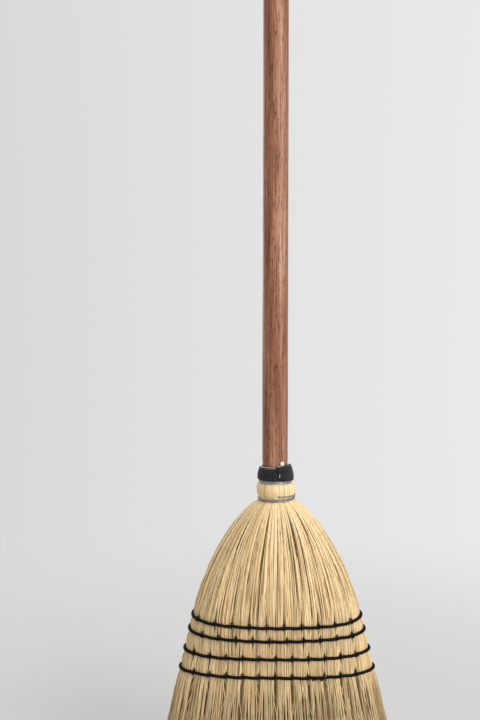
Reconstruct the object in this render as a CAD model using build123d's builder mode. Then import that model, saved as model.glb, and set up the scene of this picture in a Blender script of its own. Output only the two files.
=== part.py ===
"""A corn broom: a turned handle, bundles of broomcorn wired round its end, and four sewn rows.

The origin is at the middle of the sweeping tips. +Z runs up the handle, X across the wide face,
and -Y is the front. Each bundle of straw is one closed solid. Its free ends are a second solid,
hinged on a round knuckle under the lowest sewn row, which stands for the bending of the straw.
"""

from build123d import *
import math
import os

# ---- Driving dimensions, in millimetres. Heights are measured up from the tips. ----

overall_height = 1400.0

# Handle: a round stick with a domed top, thinned where the straw is wired on.
handle_radius = 14.0
handle_taper_radius = 13.6
handle_taper_top = 407.0
seat_radius = 12.6
seat_top = 399.0
seat_bottom = 287.0
seat_end_chamfer = 3.0

# Neck, from the foot of the lower wire up to the last turn of the upper wire.
shoulder_top = 361.0
cinch_bottom = 362.5
cinch_top = 367.0
neck_straw_top = 382.0
band_bottom = 385.0
band_top = 398.5
winding_top = 401.0
neck_radius = 20.6
cinched_radius = 18.6
wire_diameter = 1.2
winding_bottom_radius = 18.3
winding_middle_radius = 17.7
winding_top_radius = 15.0
band_thickness = 1.1
band_flap_angle = 62.0

# Rings of stalks inside the neck, from the handle outwards.
inside_ring_radius = 14.2
inner_wire_radius = 15.2
shoulder_ring_radius = 15.9
inner_wire_bottom = 372.0
inner_wire_top = 390.0
inside_butt_height = 398.0
shoulder_butt_height = 394.0
cover_butt_height = 391.0

# Head: an oval bundle. Its sides flare in a straight line below a rounded shoulder.
tip_half_width = 150.0
side_flare = 0.24
shoulder_foot = 230.0
shoulder_roundness = 2.6
shoulder_fullness = 1.5
tip_half_thickness = 43.0
sewn_half_thickness = 40.0
full_half_thickness = 56.0
pressed_from = 250.0
cover_thickness = 7.0
cover_thickness_at_neck = 3.0
shoulder_split_at_neck = 13.0
shoulder_split_at_tips = 75.0

# Sewing: four rows of twine laid round the head, each held by stitches through the straw.
row_heights = (239.3, 223.7, 201.5, 180.5)
stitch_pitches = (18.3, 18.0, 17.6, 17.6)
stitch_starts = (7.4, 10.4, -1.0, -1.0)
twine_radius = 1.1
stitch_radius = 0.9
thread_radius = 0.7
stitch_rise = 3.0
stitch_drop = 2.0
stitch_clear_of_edge = 8.0
knot_radius = 2.0

# Knuckle under the lowest row, on which the free straw bends forwards and backwards.
knuckle_height = 133.0
knuckle_radius = 43.0
knuckle_clearance = 0.3

# Nails and staple.
nail_head_radius = 2.5
nail_head_thickness = 1.0
nail_shank_radius = 0.9
nail_length = 11.0
finish_nail_height = 403.4
finish_nail_angle = 30.0
start_nail_height = 377.0
start_nail_angle = 200.0
staple_height = 391.0
staple_angle = 12.0
staple_width = 3.2
staple_leg = 1.6
staple_wire_radius = 0.35

section_heights = (0, 90, 180, 210, 240, 265, 290, 312, 330, 345, 355, shoulder_top)

os.makedirs("parts", exist_ok=True)


# ---- The outline of the straw ----


def shoulder_share(height):
    """How far the shoulder has opened at a height: 0 at the neck, 1 from the shoulder's foot down."""
    depth = (shoulder_top - height) / (shoulder_top - shoulder_foot)
    depth = min(max(depth, 0.0), 1.0)
    return (1 - (1 - depth) ** shoulder_roundness) ** (1 / shoulder_fullness)


def half_width(height):
    """Half the head's width: the straight flare, drawn in towards the neck by the shoulder."""
    flare = tip_half_width - side_flare * height
    return neck_radius + (flare - neck_radius) * shoulder_share(height)


def half_thickness(height):
    """Half the head's thickness: full at the shoulder, pressed thin by the sewing below it."""
    lowest_row = row_heights[-1]
    if height < lowest_row:
        pressed = tip_half_thickness + (sewn_half_thickness - tip_half_thickness) * height / lowest_row
    else:
        rise = min((height - lowest_row) / (pressed_from - lowest_row), 1.0)
        ease = rise * rise * (3 - 2 * rise)
        pressed = sewn_half_thickness + (full_half_thickness - sewn_half_thickness) * ease
    round_neck = neck_radius - 0.1
    return round_neck + (pressed - round_neck) * shoulder_share(height)


def cover_inset(height):
    """Thickness of the cover layer: thin at the neck, full at the shoulder's foot and below."""
    return cover_thickness_at_neck + (cover_thickness - cover_thickness_at_neck) * shoulder_share(height)


def face_depth(x, height):
    """How far the straw's face stands from the middle plane at a distance x from the middle."""
    across = x / half_width(height)
    return half_thickness(height) * math.sqrt(1 - across * across)


def winding_radius(height):
    """Outside radius of the upper wire: nearly straight up to the band's middle, then a cone."""
    middle = (band_bottom + band_top) / 2
    if height < middle:
        share = (height - neck_straw_top) / (middle - neck_straw_top)
        return winding_bottom_radius + (winding_middle_radius - winding_bottom_radius) * share
    share = (height - middle) / (winding_top - middle)
    return winding_middle_radius + (winding_top_radius - winding_middle_radius) * share**1.5


def straw_radius_under_wire(height):
    """Outside radius of the stalks under the upper wire."""
    return winding_radius(height) - wire_diameter


# ---- Helper solids, used to shape the pieces ----


def oval_bundle(inset):
    """The head from the tips to the foot of the neck, its oval sections drawn in by inset(height)."""
    with BuildPart() as bundle:
        for height in section_heights:
            with BuildSketch(Plane.XY.offset(height)):
                Ellipse(half_width(height) - inset(height), half_thickness(height) - inset(height))
        loft(ruled=True)
    return bundle.part


def turned(points):
    """A solid turned round the handle's axis from (radius, height) corners."""
    with BuildPart() as body:
        with BuildSketch(Plane.XZ):
            with BuildLine():
                Polyline(*points, close=True)
            make_face()
        revolve(axis=Axis.Z)
    return body.part


def butt_ring(inner_radius, outer_radius, top):
    """A ring of stalk butts in the neck, trimmed to the cone that the upper wire draws tight."""
    trimmed = [
        (min(outer_radius, straw_radius_under_wire(height)), height)
        for height in (neck_straw_top, (band_bottom + band_top) / 2, top)
        if height <= top
    ]
    return turned([(inner_radius, shoulder_top), (outer_radius, shoulder_top), *trimmed, (inner_radius, top)])


def half_space(side):
    """Everything on one side of the middle plane Y = 0: side is -1 for the front, 1 for the back."""
    reach = 2 * tip_half_width
    with BuildPart() as block:
        with BuildSketch(Plane.XY):
            with Locations((0, side * reach / 2)):
                Rectangle(2 * reach, reach)
        extrude(amount=overall_height)
    return block.part


def middle_wedge():
    """The space between the two shoulder bundles: a wedge that opens towards the tips."""
    with BuildPart() as wedge:
        with BuildSketch(Plane.XZ):
            with BuildLine():
                Polyline(
                    (-shoulder_split_at_tips, 0),
                    (shoulder_split_at_tips, 0),
                    (shoulder_split_at_neck, shoulder_top),
                    (-shoulder_split_at_neck, shoulder_top),
                    close=True,
                )
            make_face()
        extrude(amount=2 * full_half_thickness, both=True)
    return wedge.part


def swing_space(radius):
    """The knuckle's cylinder and everything below its axis."""
    reach = 2 * tip_half_width
    with BuildPart() as space:
        with BuildSketch(Plane.YZ):
            with Locations((0, knuckle_height)):
                Circle(radius)
            with Locations((0, knuckle_height / 2 - knuckle_height)):
                Rectangle(4 * radius, 3 * knuckle_height)
        extrude(amount=reach, both=True)
    return space.part


outer_bundle = oval_bundle(lambda height: 0.0)
inner_bundle = oval_bundle(cover_inset)
between_shoulders = middle_wedge()
free_straw_space = swing_space(knuckle_radius)
free_straw_clearance = swing_space(knuckle_radius + knuckle_clearance)


def keep_piece(part, name):
    """Label a finished piece and write it to its file."""
    part.label = name
    export_step(part, f"parts/{name}.step")


def keep_bundle(bundle, name):
    """Write a bundle as two pieces: the part held by the sewing, and the free tips below it."""
    with BuildPart() as held:
        add(bundle)
        add(free_straw_clearance, mode=Mode.SUBTRACT)
    with BuildPart() as tips:
        add(bundle)
        add(free_straw_space, mode=Mode.INTERSECT)
    keep_piece(held.part, name)
    keep_piece(tips.part, f"{name}_tips")


# ---- Handle ----

with BuildPart() as handle:
    with BuildSketch(Plane.XZ):
        with BuildLine():
            dome_foot = (handle_radius, overall_height - handle_radius)
            Polyline(
                (0, overall_height),
                (0, seat_bottom),
                (seat_radius - seat_end_chamfer, seat_bottom),
                (seat_radius, seat_bottom + seat_end_chamfer),
                (seat_radius, seat_top),
                (handle_taper_radius, winding_top),
                (handle_radius, handle_taper_top),
                dome_foot,
            )
            RadiusArc(dome_foot, (0, overall_height), -handle_radius)
        make_face()
    revolve(axis=Axis.Z)
keep_piece(handle.part, "handle")


# ---- Straw: inside corn round the handle, a shoulder on each side, a cover back and front ----

seat_hole = turned(
    [
        (0, seat_bottom),
        (seat_radius - seat_end_chamfer, seat_bottom),
        (seat_radius, seat_bottom + seat_end_chamfer),
        (seat_radius, overall_height),
        (0, overall_height),
    ]
)
inner_wire_room = turned(
    [
        (inside_ring_radius, inner_wire_bottom),
        (inner_wire_radius, inner_wire_bottom),
        (inner_wire_radius, inner_wire_top),
        (inside_ring_radius, inner_wire_top),
    ]
)

with BuildPart() as inside_corn:
    add(inner_bundle)
    add(between_shoulders, mode=Mode.INTERSECT)
    add(butt_ring(0, inner_wire_radius, inside_butt_height))
    add(seat_hole, mode=Mode.SUBTRACT)
    add(inner_wire_room, mode=Mode.SUBTRACT)
keep_bundle(inside_corn.part, "inside_corn")

for side, side_name in ((-1, "left"), (1, "right")):
    reach = 2 * tip_half_width
    with BuildPart() as shoulder:
        add(inner_bundle)
        add(between_shoulders, mode=Mode.SUBTRACT)
        add(butt_ring(inner_wire_radius, shoulder_ring_radius, shoulder_butt_height))
        with BuildSketch(Plane.XY):
            with Locations((side * reach / 2, 0)):
                Rectangle(reach, 2 * reach)
        extrude(amount=overall_height, mode=Mode.INTERSECT)
    keep_bundle(shoulder.part, f"{side_name}_shoulder_corn")

cover_neck = turned(
    [
        (shoulder_ring_radius, shoulder_top),
        (cinched_radius, shoulder_top),
        (cinched_radius, cinch_top),
        (neck_radius, cinch_top + 2.5),
        (neck_radius, neck_straw_top - 1.5),
        (straw_radius_under_wire(neck_straw_top), neck_straw_top),
        (straw_radius_under_wire(cover_butt_height), cover_butt_height),
        (shoulder_ring_radius, cover_butt_height),
    ]
)
for side, side_name in ((-1, "front"), (1, "back")):
    with BuildPart() as cover:
        add(outer_bundle)
        add(inner_bundle, mode=Mode.SUBTRACT)
        add(cover_neck)
        add(half_space(side), mode=Mode.INTERSECT)
    keep_bundle(cover.part, f"{side_name}_cover_corn")


# ---- Wire windings: a ridge for each turn ----


def wound_wire(bottom, top, outer_radius):
    """Close turns of wire, joined as one ridged sleeve whose outside follows outer_radius(height)."""
    turns = round((top - bottom) / wire_diameter)
    pitch = (top - bottom) / turns
    valley = wire_diameter * 0.25
    with BuildPart() as winding:
        with BuildSketch(Plane.XZ):
            with BuildLine():
                for turn in range(turns):
                    foot = bottom + turn * pitch
                    crest = foot + pitch / 2
                    head = foot + pitch
                    ThreePointArc(
                        (outer_radius(foot) - valley, foot),
                        (outer_radius(crest), crest),
                        (outer_radius(head) - valley, head),
                    )
                Polyline(
                    (outer_radius(top) - valley, top),
                    (outer_radius(top) - wire_diameter, top),
                    (outer_radius(bottom) - wire_diameter, bottom),
                    (outer_radius(bottom) - valley, bottom),
                )
            make_face()
        revolve(axis=Axis.Z)
    return winding.part


upper_binding_wire = wound_wire(neck_straw_top, winding_top, winding_radius)
keep_piece(upper_binding_wire, "upper_binding_wire")

cinch_wire = wound_wire(cinch_bottom, cinch_top - 0.5, lambda height: cinched_radius + wire_diameter)
keep_piece(cinch_wire, "cinch_wire")

inner_binding_wire = wound_wire(inner_wire_bottom, inner_wire_top, lambda height: inner_wire_radius)
keep_piece(inner_binding_wire, "inner_binding_wire")


# ---- Neck band: a strip wrapped once round, its end lapped over its start at the front ----


def band_profile(lift):
    """Corners of the strip's section as (radius, height), raised by lift off the wire."""
    levels = (band_bottom, (band_bottom + band_top) / 2, band_top)
    inner = [(winding_radius(height) + lift, height) for height in levels]
    outer = [(radius + band_thickness, height) for radius, height in reversed(inner)]
    return inner + outer


with BuildPart() as neck_band:
    for lift, arc, start in ((0.0, 360.0, 0.0), (band_thickness, band_flap_angle, -90.0)):
        with BuildSketch(Plane.XZ.rotated((0, 0, start))):
            with BuildLine():
                Polyline(*band_profile(lift), close=True)
            make_face()
        revolve(axis=Axis.Z, revolution_arc=arc)
keep_piece(neck_band.part, "neck_band")


# ---- Nails and staple ----


def around_front(angle, height, radius):
    """A plane on the neck: angle is turned from the front towards +X, its normal points outwards."""
    turn = math.radians(angle)
    outwards = (math.sin(turn), -math.cos(turn), 0)
    return Plane(origin=(radius * outwards[0], radius * outwards[1], height), z_dir=outwards, x_dir=(0, 0, 1))


def wire_nail(angle, height, surface_radius):
    """A flat-headed nail driven square into the handle, its head flat on the surface."""
    surface = around_front(angle, height, surface_radius)
    with BuildPart() as nail:
        with BuildSketch(surface):
            Circle(nail_head_radius)
        extrude(amount=nail_head_thickness)
        fillet(nail.faces().sort_by(Axis(surface.origin, surface.z_dir)).last.edges(), nail_head_thickness * 0.45)
        with BuildSketch(surface):
            Circle(nail_shank_radius)
        extrude(amount=-nail_length)
    return nail.part


keep_piece(wire_nail(finish_nail_angle, finish_nail_height, handle_radius + 0.1), "finish_nail")
keep_piece(wire_nail(start_nail_angle, start_nail_height, seat_radius), "start_nail")

staple_radius = winding_radius(staple_height) + 2 * band_thickness + staple_wire_radius
with BuildPart() as band_staple:
    staple_plane = around_front(staple_angle, staple_height, staple_radius)
    with BuildLine(Plane(origin=staple_plane.origin, x_dir=staple_plane.x_dir, z_dir=staple_plane.y_dir)):
        staple_path = FilletPolyline(
            (-staple_width / 2, staple_leg),
            (-staple_width / 2, 0),
            (staple_width / 2, 0),
            (staple_width / 2, staple_leg),
            radius=2 * staple_wire_radius,
        )
    with BuildSketch(Plane(origin=staple_path @ 0, z_dir=staple_path % 0)):
        Circle(staple_wire_radius)
    sweep(path=staple_path)
keep_piece(band_staple.part, "band_staple")


# ---- Sewing ----


def twine_ring(height):
    """Twine laid round the head at one row, half sunk into the straw."""
    with BuildPart() as ring:
        with BuildLine(Plane.XY.offset(height)):
            path = EllipticalCenterArc((0, 0), half_width(height), half_thickness(height), arc_size=360)
        with BuildSketch(Plane(origin=path @ 0, z_dir=path % 0)):
            Circle(twine_radius)
        sweep(path=path)
    return ring.part


def stitch_places(row):
    """Where a row's stitches stand across the head, at an even pitch to either side of the first."""
    reach = half_width(row_heights[row]) - stitch_clear_of_edge
    pitch = stitch_pitches[row]
    steps = range(-int(reach / pitch) - 1, int(reach / pitch) + 2)
    places = [stitch_starts[row] + step * pitch for step in steps]
    return [x for x in places if abs(x) <= reach]


def stitches(row):
    """One loop of twine at each place: a bar over the row, front and back, and the thread between."""
    height = row_heights[row]
    with BuildPart() as loops:
        for x in stitch_places(row):
            depth = face_depth(x, height) + twine_radius
            with BuildSketch(Plane.XZ.offset(-depth)):
                with Locations((x, height - stitch_drop + stitch_radius)):
                    Circle(thread_radius)
            extrude(amount=2 * depth)
            with BuildSketch(Plane.XY.offset(height - stitch_drop)):
                with Locations((x, -depth), (x, depth)):
                    Circle(stitch_radius)
            extrude(amount=stitch_rise + stitch_drop)
    return loops.part


for row in range(len(row_heights)):
    keep_piece(twine_ring(row_heights[row]), f"twine_row_{row + 1}")
    keep_piece(stitches(row), f"stitches_row_{row + 1}")

knot_height = row_heights[-1]
knot_x = stitch_starts[-1] + 2.75 * stitch_pitches[-1]
with BuildPart() as twine_knot:
    with BuildSketch(Plane.XZ.offset(face_depth(knot_x, knot_height) - knot_radius)):
        with Locations((knot_x, knot_height - stitch_drop / 2)):
            Circle(knot_radius)
    extrude(amount=2 * knot_radius + twine_radius)
    fillet(twine_knot.faces().sort_by(Axis.Y).first.edges(), knot_radius * 0.6)
keep_piece(twine_knot.part, "twine_knot")
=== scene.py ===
"""A corn broom, finished: single straws, twisted twine, wound wire, a wrapped band and a grained stick.

Lengths are metres. The head is an oval bundle whose section changes with height. A place on it is
given by a height and a fraction of the way round, 0 at the middle of the front, 0.25 at +X.
"""

import math

import bmesh
import bpy
import numpy as np
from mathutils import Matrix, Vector


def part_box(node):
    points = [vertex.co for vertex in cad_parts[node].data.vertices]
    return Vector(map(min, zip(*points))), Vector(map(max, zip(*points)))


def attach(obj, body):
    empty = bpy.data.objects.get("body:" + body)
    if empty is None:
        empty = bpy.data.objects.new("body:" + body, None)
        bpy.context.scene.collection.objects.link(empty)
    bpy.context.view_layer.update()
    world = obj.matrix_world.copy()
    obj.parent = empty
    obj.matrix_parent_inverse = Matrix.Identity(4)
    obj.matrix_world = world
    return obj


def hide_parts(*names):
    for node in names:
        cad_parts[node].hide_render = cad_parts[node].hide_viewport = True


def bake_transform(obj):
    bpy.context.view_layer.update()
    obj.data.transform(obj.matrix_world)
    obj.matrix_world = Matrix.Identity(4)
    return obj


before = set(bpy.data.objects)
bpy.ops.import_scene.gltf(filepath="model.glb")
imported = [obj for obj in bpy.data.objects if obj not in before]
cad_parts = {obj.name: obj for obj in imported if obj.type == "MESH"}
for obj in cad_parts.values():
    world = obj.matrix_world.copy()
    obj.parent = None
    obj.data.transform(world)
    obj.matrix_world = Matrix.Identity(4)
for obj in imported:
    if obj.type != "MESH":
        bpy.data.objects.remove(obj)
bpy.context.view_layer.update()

MM = 0.001


# ---- Sizes read from the frame ----


def middle_height(node):
    """Height of the middle of a node."""
    low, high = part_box(node)
    return (low.z + high.z) / 2


row_nodes = [f"twine_row_{row}" for row in (1, 2, 3, 4)]
row_heights = [middle_height(node) for node in row_nodes]
lowest_row = row_heights[-1]

tip_half_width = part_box("front_cover_corn_tips")[1].x
tip_half_thickness = -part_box("front_cover_corn_tips")[0].y
row_proud = 1.1 * MM
sewn_half_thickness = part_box("twine_row_4")[1].y - row_proud
handle_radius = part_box("handle")[1].x
cinch_low, cinch_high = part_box("cinch_wire")
winding_low, winding_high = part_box("upper_binding_wire")
band_low, band_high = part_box("neck_band")

# The head's outline: neck, flare, shoulders and thickness.
neck_radius = 20.6 * MM
side_flare = 0.24
shoulder_top = cinch_low.z - 1.5 * MM
shoulder_foot = 230 * MM
shoulder_roundness = 2.6
shoulder_fullness = 1.4
full_half_thickness = 56 * MM
pressed_from = 250 * MM

wire_radius = 0.6 * MM
twine_radius = 1.55 * MM
winding_foot = winding_low.z - 1.2 * MM

# (height, radius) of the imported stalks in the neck, from the cinch wire up to their trimmed butts.
neck_outline = np.array([
    (shoulder_top, neck_radius),
    (cinch_low.z + 0.9 * MM, 19.3 * MM),
    (cinch_high.z + 0.6 * MM, 19.3 * MM),
    (cinch_high.z + 3.0 * MM, 21.0 * MM),
    (winding_foot - 5.0 * MM, 21.5 * MM),
    (winding_foot - 1.6 * MM, 20.9 * MM),
    (winding_foot + 0.4 * MM, 17.4 * MM),
    (winding_foot + 9.0 * MM, 15.4 * MM),
])

# (height, x) of the head's middle: a hand-made head stands a little to the right of its handle.
head_lean = np.array([
    (0, 3.6), (100, 3.3), (180, 2.4), (240, 2.1), (330, 1.5), (365, 1.3), (380, 1.0), (400, 0.3),
]) * MM


def lean_at(height):
    """The x of the head's middle at each height, read in straight lines between the places of head_lean."""
    return np.interp(height, head_lean[:, 0], head_lean[:, 1])


def head_section(height):
    """Half width and half thickness of the head at each height.

    The width is a straight flare and the thickness an eased step between the full shoulder and the
    sewn part. Both are drawn in to the neck by one power curve, and follow the neck's outline above it.
    """
    height = np.asarray(height, float)
    depth = np.clip((shoulder_top - height) / (shoulder_top - shoulder_foot), 0, 1)
    share = (1 - (1 - depth) ** shoulder_roundness) ** (1 / shoulder_fullness)
    flare = tip_half_width - side_flare * height
    free = tip_half_thickness + (sewn_half_thickness - tip_half_thickness) * height / lowest_row
    rise = np.clip((height - lowest_row) / (pressed_from - lowest_row), 0, 1)
    sewn = sewn_half_thickness + (full_half_thickness - sewn_half_thickness) * rise * rise * (3 - 2 * rise)
    thickness = np.where(height < lowest_row, free, sewn)
    neck = np.interp(height, neck_outline[:, 0], neck_outline[:, 1])
    wide = neck_radius + (flare - neck_radius) * share
    thick = neck_radius + (thickness - neck_radius) * share
    above = height > shoulder_top
    return np.where(above, neck, wide), np.where(above, neck, thick)


# ---- Even places round an oval ----

flattest_oval = 0.2
oval_steps = 1441
oval_ratios = np.linspace(flattest_oval, 1.0, 41)
oval_angles = np.linspace(0, 2 * np.pi, oval_steps)
oval_fractions = np.linspace(0, 1, oval_steps)


def length_round_ovals():
    """For each thickness-to-width ratio, the share of the oval's length passed at each angle.

    The oval is x = sin(angle), y = -ratio cos(angle), so its speed is the root of cos^2 + ratio^2 sin^2.
    """
    speed = np.sqrt(np.cos(oval_angles) ** 2 + (oval_ratios[:, None] * np.sin(oval_angles)) ** 2)
    steps = (speed[:, 1:] + speed[:, :-1]) / 2
    length = np.concatenate([np.zeros((len(oval_ratios), 1)), np.cumsum(steps, axis=1)], axis=1)
    return length / length[:, -1:]


fraction_table = length_round_ovals()
angle_table = np.array([np.interp(oval_fractions, shares, oval_angles) for shares in fraction_table])


def look_up(table, ratio, place):
    """Bilinear reading of a table of ratio by place, where place runs from 0 to 1."""
    roundness = (np.clip(ratio, flattest_oval, 1.0) - flattest_oval) / (1.0 - flattest_oval)
    row = roundness * (len(oval_ratios) - 1)
    column = np.clip(place, 0, 1) * (table.shape[1] - 1)
    r0 = np.minimum(row.astype(int), len(oval_ratios) - 2)
    c0 = np.minimum(column.astype(int), table.shape[1] - 2)
    dr, dc = row - r0, column - c0
    near = table[r0, c0] * (1 - dc) + table[r0, c0 + 1] * dc
    far = table[r0 + 1, c0] * (1 - dc) + table[r0 + 1, c0 + 1] * dc
    return near * (1 - dr) + far * dr


def on_head(fraction, height, inset):
    """Points on the head and their outward normals.

    Each is the oval's point at that share of its length, moved by the lean and sunk by inset.
    """
    fraction, height, inset = np.broadcast_arrays(fraction, height, inset)
    wide, thick = head_section(height)
    angle = look_up(angle_table, thick / wide, np.mod(fraction, 1.0))
    x, y = wide * np.sin(angle), -thick * np.cos(angle)
    normal = np.stack([x / wide**2, y / thick**2, np.zeros_like(x)], axis=-1)
    normal /= np.linalg.norm(normal, axis=-1, keepdims=True)
    x = x + lean_at(height)
    point = np.stack([x, y, height], axis=-1) - normal * inset[..., None]
    return point, normal


def fraction_at(x, height, back=False):
    """The share of the way round at which the head's front, or back, stands at x."""
    wide, thick = head_section(np.full(np.shape(x), height))
    from_middle = np.asarray(x) - lean_at(height)
    angle = np.arcsin(np.clip(from_middle / wide, -1, 1))
    angle = np.mod(np.pi - angle if back else angle, 2 * np.pi)
    return look_up(fraction_table, thick / wide, angle / (2 * np.pi))


# ---- Meshes ----


def new_piece(name, points, faces, material, colours=None):
    """A smooth mesh from points and face arrays, each of one size, with a colour at each point if given."""
    corners = np.concatenate([block.ravel() for block in faces]).astype(np.int32)
    sizes = np.concatenate([np.full(len(block), block.shape[1]) for block in faces])
    starts = np.concatenate([[0], np.cumsum(sizes)[:-1]]).astype(np.int32)
    mesh = bpy.data.meshes.new(name)
    mesh.vertices.add(len(points))
    mesh.vertices.foreach_set("co", points.astype(np.float32).ravel())
    mesh.loops.add(len(corners))
    mesh.loops.foreach_set("vertex_index", corners)
    mesh.polygons.add(len(sizes))
    mesh.polygons.foreach_set("loop_start", starts)
    mesh.polygons.foreach_set("use_smooth", np.ones(len(sizes), bool))
    mesh.update(calc_edges=True)
    if colours is not None:
        attribute = mesh.color_attributes.new("tint", "FLOAT_COLOR", "POINT")
        rgba = np.concatenate([colours, np.ones((len(colours), 1))], axis=1)
        attribute.data.foreach_set("color", rgba.astype(np.float32).ravel())
    mesh.materials.append(material)
    piece = bpy.data.objects.new(name, mesh)
    bpy.context.scene.collection.objects.link(piece)
    return piece


def sheet_quads(index, wrapped=True):
    """Quads between neighbours on a grid of point numbers. Wrapped, its last column meets its first."""
    if wrapped:
        index = np.concatenate([index, index[:, :1]], axis=1)
    return np.stack([index[:-1, :-1], index[1:, :-1], index[1:, 1:], index[:-1, 1:]], -1).reshape(-1, 4)


def tube_faces(rings, sides, count, closed=False, first=0):
    """Faces of count tubes, each of rings rings of sides points, with flat ends unless closed on itself."""
    index = np.arange(rings * sides).reshape(rings, sides)
    if closed:
        index = np.concatenate([index, index[:1]])
    blocks = [sheet_quads(index)]
    if not closed:
        if sides == 3:
            fan = np.array([(0, 1, 2)])
        else:
            fan = np.array([(0, k + 1, k + 2, k + 3) for k in range(0, sides - 2, 2)])
        blocks += [fan, fan[:, ::-1] + (rings - 1) * sides]
    offsets = first + np.arange(count)[:, None, None] * rings * sides
    return [(block[None] + offsets).reshape(-1, block.shape[1]) for block in blocks]


def tube_points(path, outward, wide, thick, sides, lobes=0, lobe_depth=0.0, twist=None):
    """Points of tubes along paths, an oval section of wide by thick set square to each path.

    outward turns the section's thick way. With lobes, the section is a rope's: its radius swells
    lobes times round, and the swelling turns by twist along the path.
    """
    along = np.gradient(path, axis=-2)
    along /= np.linalg.norm(along, axis=-1, keepdims=True) + 1e-12
    across = np.cross(along, outward)
    across /= np.linalg.norm(across, axis=-1, keepdims=True) + 1e-12
    out = np.cross(across, along)
    angle = 2 * np.pi * np.arange(sides) / sides
    swell = np.ones(path.shape[:-1] + (sides,))
    if lobes:
        swell = 1 + lobe_depth * np.cos(lobes * (angle - twist[..., None]))
    a = (swell * np.cos(angle) * wide[..., None] / 2)[..., None] * across[..., None, :]
    b = (swell * np.sin(angle) * thick[..., None] / 2)[..., None] * out[..., None, :]
    return path[..., None, :] + a + b


# ---- Materials ----


class Finish:
    """A Principled material that is built up node by node."""

    def __init__(self, name, roughness=0.5, metallic=0.0, specular=0.5):
        self.material = bpy.data.materials.new(name)
        self.material.use_nodes = True
        self.tree = self.material.node_tree
        self.shader = self.tree.nodes["Principled BSDF"]
        self.shader.inputs["Roughness"].default_value = roughness
        self.shader.inputs["Metallic"].default_value = metallic
        self.shader.inputs["Specular IOR Level"].default_value = specular

    def node(self, kind, **values):
        made = self.tree.nodes.new(kind)
        for key, value in values.items():
            setattr(made, key, value)
        return made

    def join(self, output, target):
        self.tree.links.new(output, target)

    def noise(self, stretch, scale, detail=4.0, roughness=0.55, shift=(0, 0, 0)):
        """Noise on Object coordinates, scaled along each axis by stretch and moved by shift."""
        place = self.node("ShaderNodeTexCoord")
        mapping = self.node("ShaderNodeMapping")
        mapping.inputs["Scale"].default_value = stretch
        mapping.inputs["Location"].default_value = shift
        noise = self.node("ShaderNodeTexNoise")
        noise.inputs["Scale"].default_value = scale
        noise.inputs["Detail"].default_value = detail
        noise.inputs["Roughness"].default_value = roughness
        self.join(place.outputs["Object"], mapping.inputs["Vector"])
        self.join(mapping.outputs["Vector"], noise.inputs["Vector"])
        return noise.outputs["Fac"]

    def ramp(self, value, stops):
        """Colours at stops along a value from 0 to 1."""
        ramp = self.node("ShaderNodeValToRGB")
        elements = ramp.color_ramp.elements
        while len(elements) < len(stops):
            elements.new(0.5)
        for element, (position, colour) in zip(elements, stops):
            element.position = position
            element.color = (*colour, 1)
        self.join(value, ramp.inputs["Fac"])
        return ramp.outputs["Color"]

    def mix(self, kind, factor, first, second):
        """Two colours mixed. factor is a number or an output."""
        mix = self.node("ShaderNodeMix", data_type="RGBA", blend_type=kind)
        for value, target in zip((factor, first, second), (mix.inputs[0], mix.inputs[6], mix.inputs[7])):
            if isinstance(value, bpy.types.NodeSocket):
                self.join(value, target)
            elif isinstance(value, (int, float)):
                target.default_value = value
            else:
                target.default_value = (*value, 1)
        return mix.outputs[2]

    def spread(self, value, low, high, start=0.0, stop=1.0):
        """A value from start to stop spread from low to high."""
        spread = self.node("ShaderNodeMapRange")
        spread.inputs["From Min"].default_value = start
        spread.inputs["From Max"].default_value = stop
        spread.inputs["To Min"].default_value = low
        spread.inputs["To Max"].default_value = high
        self.join(value, spread.inputs["Value"])
        return spread.outputs["Result"]

    def bump(self, value, distance, strength=1.0):
        bump = self.node("ShaderNodeBump")
        bump.inputs["Strength"].default_value = strength
        bump.inputs["Distance"].default_value = distance
        self.join(value, bump.inputs["Height"])
        self.join(bump.outputs["Normal"], self.shader.inputs["Normal"])

    def tint(self):
        """The colour stored at each point of the mesh."""
        return self.node("ShaderNodeVertexColor", layer_name="tint").outputs["Color"]

    def colour(self, output):
        self.join(output, self.shader.inputs["Base Color"])

    def rough(self, output):
        self.join(output, self.shader.inputs["Roughness"])


def straw_finish():
    """Dry broomcorn: each straw's own colour, mottled along it, with fine lengthwise ridges."""
    finish = Finish("broomcorn_straw", roughness=0.5, specular=0.35)
    mottle = finish.noise((1, 1, 0.12), 420, detail=3)
    shade = finish.ramp(mottle, [(0.3, (0.74, 0.70, 0.62)), (0.52, (1, 1, 1)), (0.75, (1.0, 0.97, 0.9))])
    finish.colour(finish.mix("MULTIPLY", 0.75, finish.tint(), shade))
    finish.rough(finish.spread(mottle, 0.62, 0.42))
    finish.bump(finish.noise((1, 1, 0.06), 2400, detail=2), 0.12 * MM, 0.5)
    return finish.material


def core_finish():
    """The shaded straw deep inside the bundle."""
    finish = Finish("inner_straw", roughness=0.8, specular=0.15)
    streaks = finish.noise((1, 1, 0.04), 700, detail=3)
    shade = finish.ramp(streaks, [(0.35, (0.36, 0.34, 0.32)), (0.65, (1.0, 1.0, 1.0))])
    finish.colour(finish.mix("MULTIPLY", 1.0, finish.tint(), shade))
    finish.bump(streaks, 0.6 * MM, 0.8)
    return finish.material


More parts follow.
